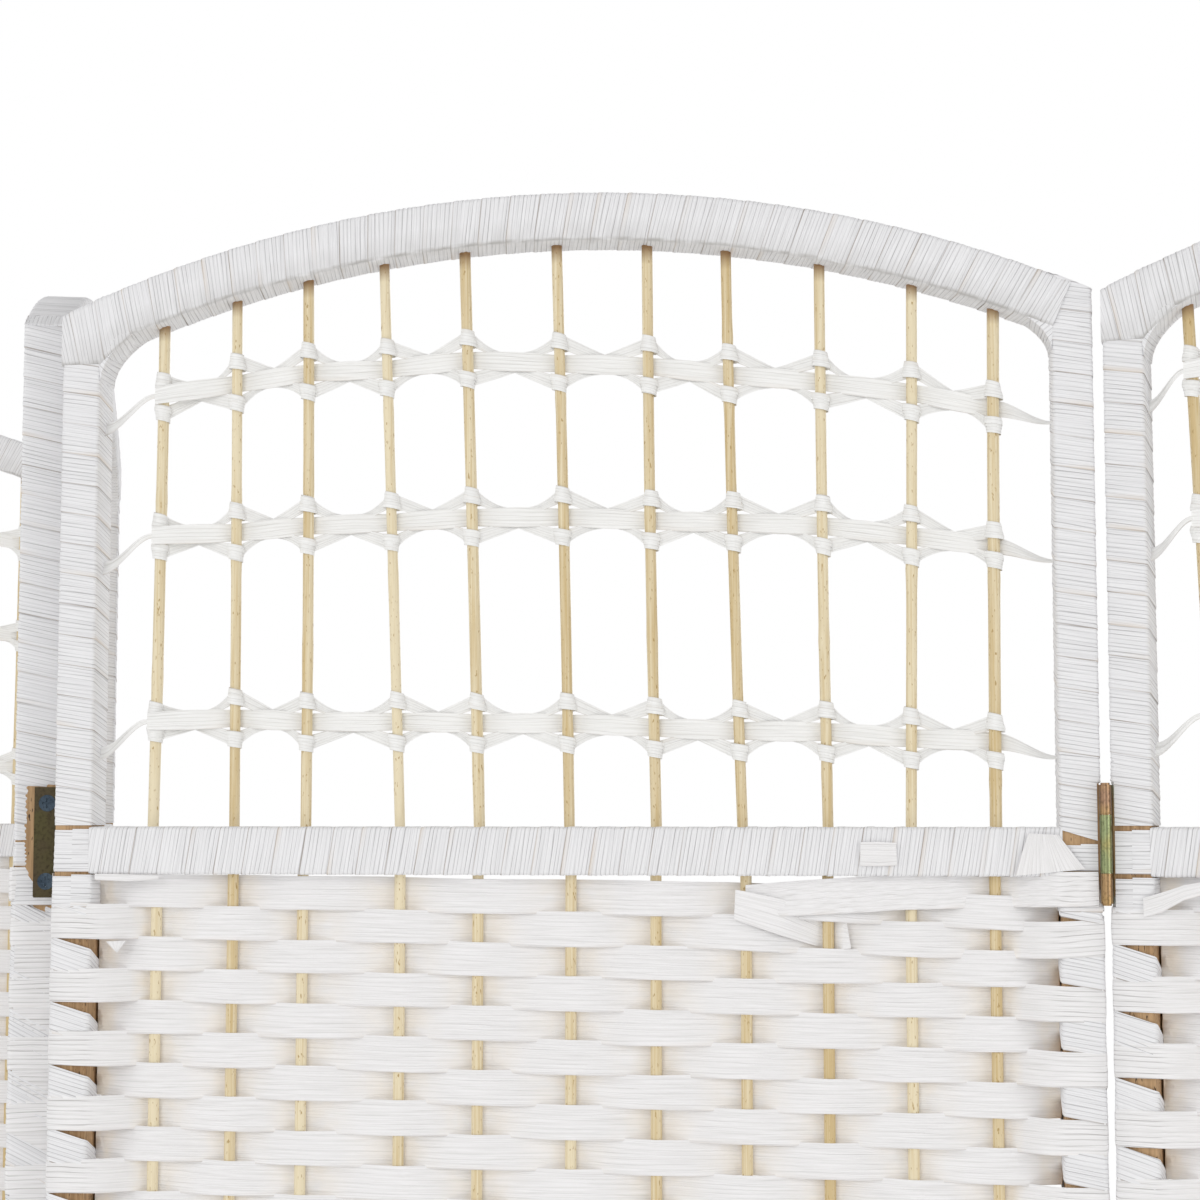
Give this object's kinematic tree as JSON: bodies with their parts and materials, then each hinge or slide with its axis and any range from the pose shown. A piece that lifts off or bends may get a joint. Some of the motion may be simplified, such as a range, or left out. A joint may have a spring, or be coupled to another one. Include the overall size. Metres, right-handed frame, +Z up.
{
  "type": "folding room divider",
  "caption": "Folding screen of arched wooden panels bound and woven with white paper ribbon on bamboo rods, with an open laced top, on steel butt hinges.",
  "frame": {"origin": "on the floor, at the middle of the standing screen's bounding box in plan", "axes": "+Z up; +X along the wide middle panel from its left to its right, seen from the front; +Y to the back"},
  "size_m": [1.4888, 0.6008, 1.7],
  "materials": {
    "pine": "rough sawn, unfinished",
    "bamboo": "smooth reed skin",
    "bound_ribbon": "wound paper ribbon",
    "lace_ribbon": "twisted paper ribbon",
    "woven_ribbon": "flat woven paper ribbon",
    "hinge_steel": "yellow zinc plated",
    "screw_steel": "blue zinc plated"
  },
  "bodies": {
    "panel_1": {"hinge_12_leaves_panel_1": "hinge_steel", "hinge_12_screws_panel_1": "screw_steel", "panel_1_arch_rail": "pine", "panel_1_bottom_rail": "pine", "panel_1_lace": "lace_ribbon", "panel_1_left_stile": "pine", "panel_1_lower_rods": "bamboo", "panel_1_mid_rail": "pine", "panel_1_rail_wraps": "bound_ribbon", "panel_1_right_stile": "pine", "panel_1_stile_wraps": "bound_ribbon", "panel_1_upper_rods": "bamboo", "panel_1_weave": "woven_ribbon"},
    "panel_2": {"hinge_12_leaves_panel_2": "hinge_steel", "hinge_12_pins": "hinge_steel", "hinge_12_screws_panel_2": "screw_steel", "hinge_23_leaves_panel_2": "hinge_steel", "hinge_23_screws_panel_2": "screw_steel", "panel_2_arch_rail": "pine", "panel_2_bottom_rail": "pine", "panel_2_lace": "lace_ribbon", "panel_2_left_stile": "pine", "panel_2_lower_rods": "bamboo", "panel_2_mid_rail": "pine", "panel_2_rail_wraps": "bound_ribbon", "panel_2_right_stile": "pine", "panel_2_stile_wraps": "bound_ribbon", "panel_2_upper_rods": "bamboo", "panel_2_weave": "woven_ribbon"},
    "panel_3": {"hinge_23_leaves_panel_3": "hinge_steel", "hinge_23_pins": "hinge_steel", "hinge_23_screws_panel_3": "screw_steel", "hinge_34_leaves_panel_3": "hinge_steel", "hinge_34_pins": "hinge_steel", "hinge_34_screws_panel_3": "screw_steel", "panel_3_arch_rail": "pine", "panel_3_bottom_rail": "pine", "panel_3_lace": "lace_ribbon", "panel_3_left_stile": "pine", "panel_3_lower_rods": "bamboo", "panel_3_mid_rail": "pine", "panel_3_rail_wraps": "bound_ribbon", "panel_3_right_stile": "pine", "panel_3_stile_wraps": "bound_ribbon", "panel_3_upper_rods": "bamboo", "panel_3_weave": "woven_ribbon"},
    "panel_4": {"hinge_34_leaves_panel_4": "hinge_steel", "hinge_34_screws_panel_4": "screw_steel", "panel_4_arch_rail": "pine", "panel_4_bottom_rail": "pine", "panel_4_lace": "lace_ribbon", "panel_4_left_stile": "pine", "panel_4_lower_rods": "bamboo", "panel_4_mid_rail": "pine", "panel_4_rail_wraps": "bound_ribbon", "panel_4_right_stile": "pine", "panel_4_stile_wraps": "bound_ribbon", "panel_4_upper_rods": "bamboo", "panel_4_weave": "woven_ribbon"}
  },
  "joints": [
    {"name": "hinge_34", "type": "hinge", "parent": "panel_3", "child": "panel_4", "pos_m": [0.30325, -0.18097, 0.85], "axis": [0, 0, -1], "range_deg": [-15.7, 164.3]},
    {"name": "hinge_23", "type": "hinge", "parent": "panel_3", "child": "panel_2", "pos_m": [-0.14974, -0.15417, 0.85], "axis": [0, 0, -1], "range_deg": [-75, 105]},
    {"name": "hinge_12", "type": "hinge", "parent": "panel_2", "child": "panel_1", "pos_m": [-0.29288, 0.27646, 0.85], "axis": [0, 0, 1], "range_deg": [-75, 105]}
  ]
}
